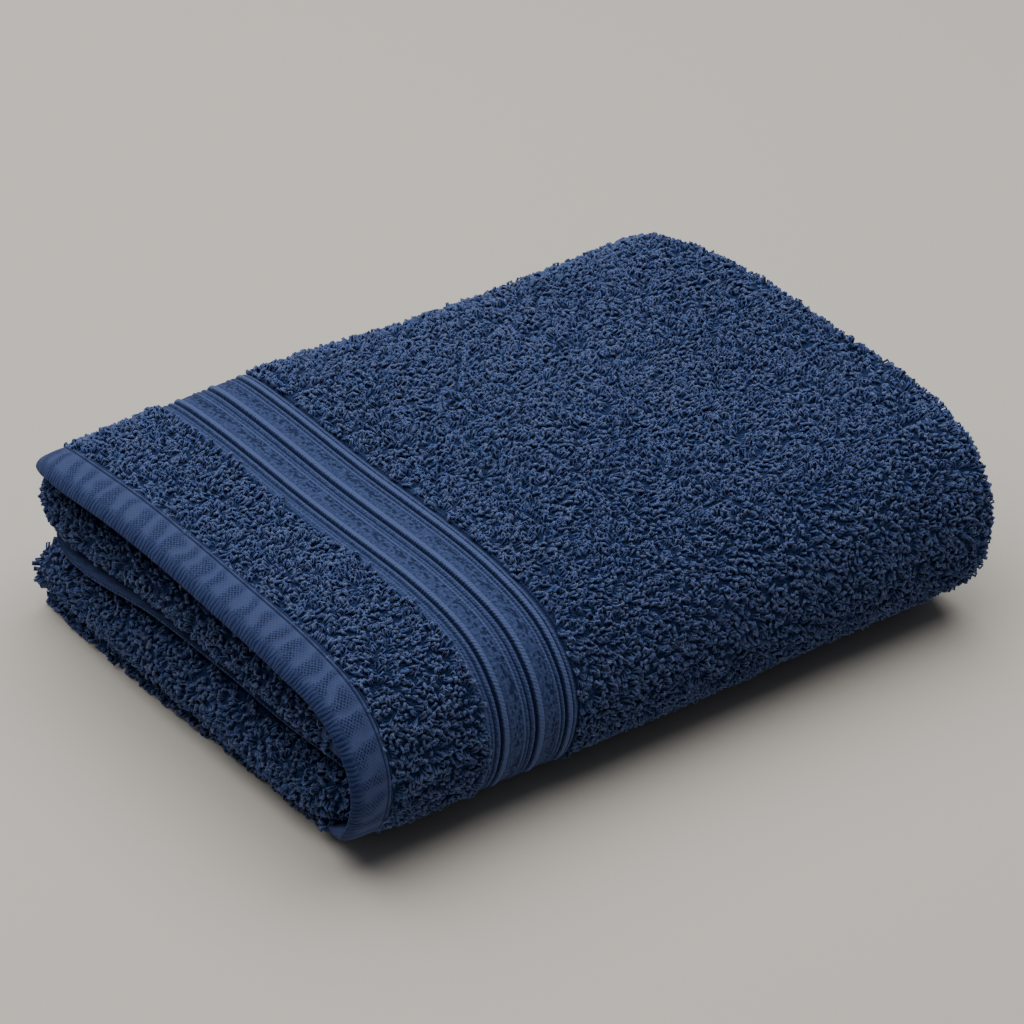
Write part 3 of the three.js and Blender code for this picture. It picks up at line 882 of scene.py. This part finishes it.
def stand_loops(name, places, lean, legs, feet, yarn):
    """Loops of the pile as one mesh. lean is how far they tip over, in degrees, legs how long
    they stand, feet half the distance between their feet, and yarn its radius."""
    across, along = places[3:]
    count = len(across)
    clump = 0.5 * soft_noise(across, along, 15, 3) + 0.6 * soft_noise(0.3 * across, along, 6, 5)
    # The pile parts along wandering lines, where its loops lie low
    parting = np.exp(-((soft_noise(across, along, 26, 9) / 0.2) ** 2))
    rings, sideways = loop_rings(places, legs, feet, lean, 0.16 * clump - 0.3 * parting)
    points, faces = yarn_tubes(rings, sideways, rng.uniform(*yarn, count)[:, None])
    pile = mesh_from_arrays(name, points, faces)
    # 0 at the feet, which take the painted shade of the pile, and 1 at the tops
    up_the_leg = np.repeat([0.0, 1.0, 1.0, 0.0], POINTS_ROUND)
    give_values(pile.data, "foot_to_top", np.tile(up_the_leg, count))
    tone = np.clip(rng.uniform(0, 1, count) + 0.2 * clump - 0.3 * parting, 0, 1)
    give_values(pile.data, "tone", np.repeat(tone, RINGS * POINTS_ROUND))
    pile.data.materials.append(yarn_material)
    return pile


def in_parts(places, parts):
    """The places in parts of equal count, so that no piece is too heavy."""
    edges = np.linspace(0, len(places[0]), parts + 1).astype(int)
    return [[field[a:b] for field in places] for a, b in zip(edges, edges[1:])]


# The kinds of loop, from least to most. Those that face away from the photograph are coarser than
# real yarn, to keep their number down.
TOP_LOOP = {"legs": (2.4, 3.4), "feet": (0.42, 0.62), "yarn": (0.5, 0.62)}
ROLL_LOOP = {"legs": (2.6, 3.7), "feet": (0.36, 0.52), "yarn": (0.52, 0.66)}
FLOOR_LOOP = {"legs": (2.4, 3.4), "feet": (0.36, 0.52), "yarn": (0.56, 0.7)}
BACK_LOOP = {"legs": (2.6, 3.6), "feet": (0.5, 0.8), "yarn": (0.6, 0.75)}
LOWER_LOOP = {"legs": (2.6, 3.6), "feet": (0.5, 0.8), "yarn": (0.6, 0.7)}
UNDERSIDE_LOOP = {"legs": (2.8, 3.8), "feet": (0.9, 1.4), "yarn": (0.8, 1.0)}

# The stretches across the cloth, from its lower long edge: the underside, the front fold and
# the top, the back fold, and the tucked third. On the floor, loops cover the end of the outer
# layer until it rises at the front fold.
width_before = dict(zip(PATH, np.interp(range(len(PATH)), ROWS_ALONG, WIDTH_ALONG)))
lower_start = SIDE_HEM_WIDTH + 2
lower_end = width_before["lower_near"]
floor_end = width_before["front_foot"] + 13
back_start = width_before["back_brow"]
back_end = width_before["back_below"]
tucked_end = CLOTH_WIDTH - SIDE_HEM_WIDTH - 2
rolls_start = 0.5
rolls_end = CLOTH_WIDTH - 0.5

# The pile, stretch by stretch
PILE_COLUMNS = ("across", "spacing", "zones", "ends_of", "loop", "lean", "pieces")
PILE_STRETCHES = {
    "top_pile": ((lower_end, back_start), 2.05, ["face"], [], TOP_LOOP, (40, 76), 3),
    "right_fold_pile": (
        (lower_end, back_start), 2.2, ["right_fold"], ["inner_face"], TOP_LOOP, (36, 74), 1
    ),
    "rolled_end_pile": ((rolls_start, back_end), 2.2, ["left_roll"], [], ROLL_LOOP, (32, 74), 1),
    "tucked_end_pile": ((back_end, rolls_end), 2.2, ["left_roll"], [], ROLL_LOOP, (25, 70), 1),
    "floor_end_pile": ((rolls_start, floor_end), 2.0, ["hem_end"], [], FLOOR_LOOP, (15, 65), 1),
    "back_fold_pile": (
        (back_start, back_end), 2.5, ["face", "right_fold"], ["inner_face"], BACK_LOOP, (36, 74), 1
    ),
    "underside_pile": ((lower_start, lower_end), 4.2, ["face"], [], UNDERSIDE_LOOP, (60, 82), 1),
    "lower_fold_pile": ((lower_start, lower_end), 2.5, ["right_fold"], [], LOWER_LOOP, (36, 74), 1),
    "tucked_fold_pile": ((back_end, tucked_end), 2.8, ["right_fold"], [], BACK_LOOP, (36, 74), 1),
}


def make_pile():
    """The pieces of the pile. A stretch of several pieces numbers them."""
    pieces = []
    for name, values in PILE_STRETCHES.items():
        row = dict(zip(PILE_COLUMNS, values))
        places = pile_places(*row["across"], row["spacing"], row["zones"], row["ends_of"])
        for number, part in enumerate(in_parts(places, row["pieces"]), 1):
            title = f"{name}_{number}" if row["pieces"] > 1 else name
            pieces.append(stand_loops(title, part, row["lean"], **row["loop"]))
    return pieces


yarn_material = loop_yarn()
sheet = make_sheet({"ground": ground_weave(), "hem": hem_twill(), "border": border_filling()})
pile = make_pile()

for piece in [sheet, *pile]:
    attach(piece, "root")
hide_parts("towel_cloth")

# Floor
bpy.ops.mesh.primitive_plane_add(size=6)
floor = bpy.context.object
floor.name = "floor"
floor_material = bpy.data.materials.new("pale_floor")
floor_material.use_nodes = True
floor_shader = floor_material.node_tree.nodes["Principled BSDF"]
floor_shader.inputs["Base Color"].default_value = linear("#c9c3b8")
floor_shader.inputs["Roughness"].default_value = 0.9
floor.data.materials.append(floor_material)


def add_light(name, place, size, watts):
    """A round soft light that faces the towel."""
    lamp = bpy.data.lights.new(name, "AREA")
    lamp.shape = "DISK"
    lamp.size = size
    lamp.energy = watts
    made = bpy.data.objects.new(name, lamp)
    bpy.context.scene.collection.objects.link(made)
    made.location = place
    towards = Vector((0, 0, 0.04)) - Vector(place)
    made.rotation_euler = towards.to_track_quat("-Z", "Y").to_euler()


add_light("key", (0.0, 0.32, 1.55), 3.0, 54)
add_light("fill", (-0.9, -1.1, 1.4), 1.4, 0.3)
world = bpy.data.worlds.new("studio")
bpy.context.scene.world = world
world.use_nodes = True
world.node_tree.nodes["Background"].inputs["Color"].default_value = linear("#e2e9f8")
world.node_tree.nodes["Background"].inputs["Strength"].default_value = 0.14

# The camera stands about 1.6 m away, to the left of the front, and looks down at 31 degrees,
# with a long lens, as in the photograph
camera_data = bpy.data.cameras.new("camera")
camera_data.lens = 137.6
camera_data.sensor_width = 36
camera = bpy.data.objects.new("camera", camera_data)
bpy.context.scene.collection.objects.link(camera)
camera.location = (-0.80992, -1.06638, 0.85808)
camera.rotation_euler = [math.radians(a) for a in (58.810, -0.396, -36.979)]
bpy.context.scene.camera = camera
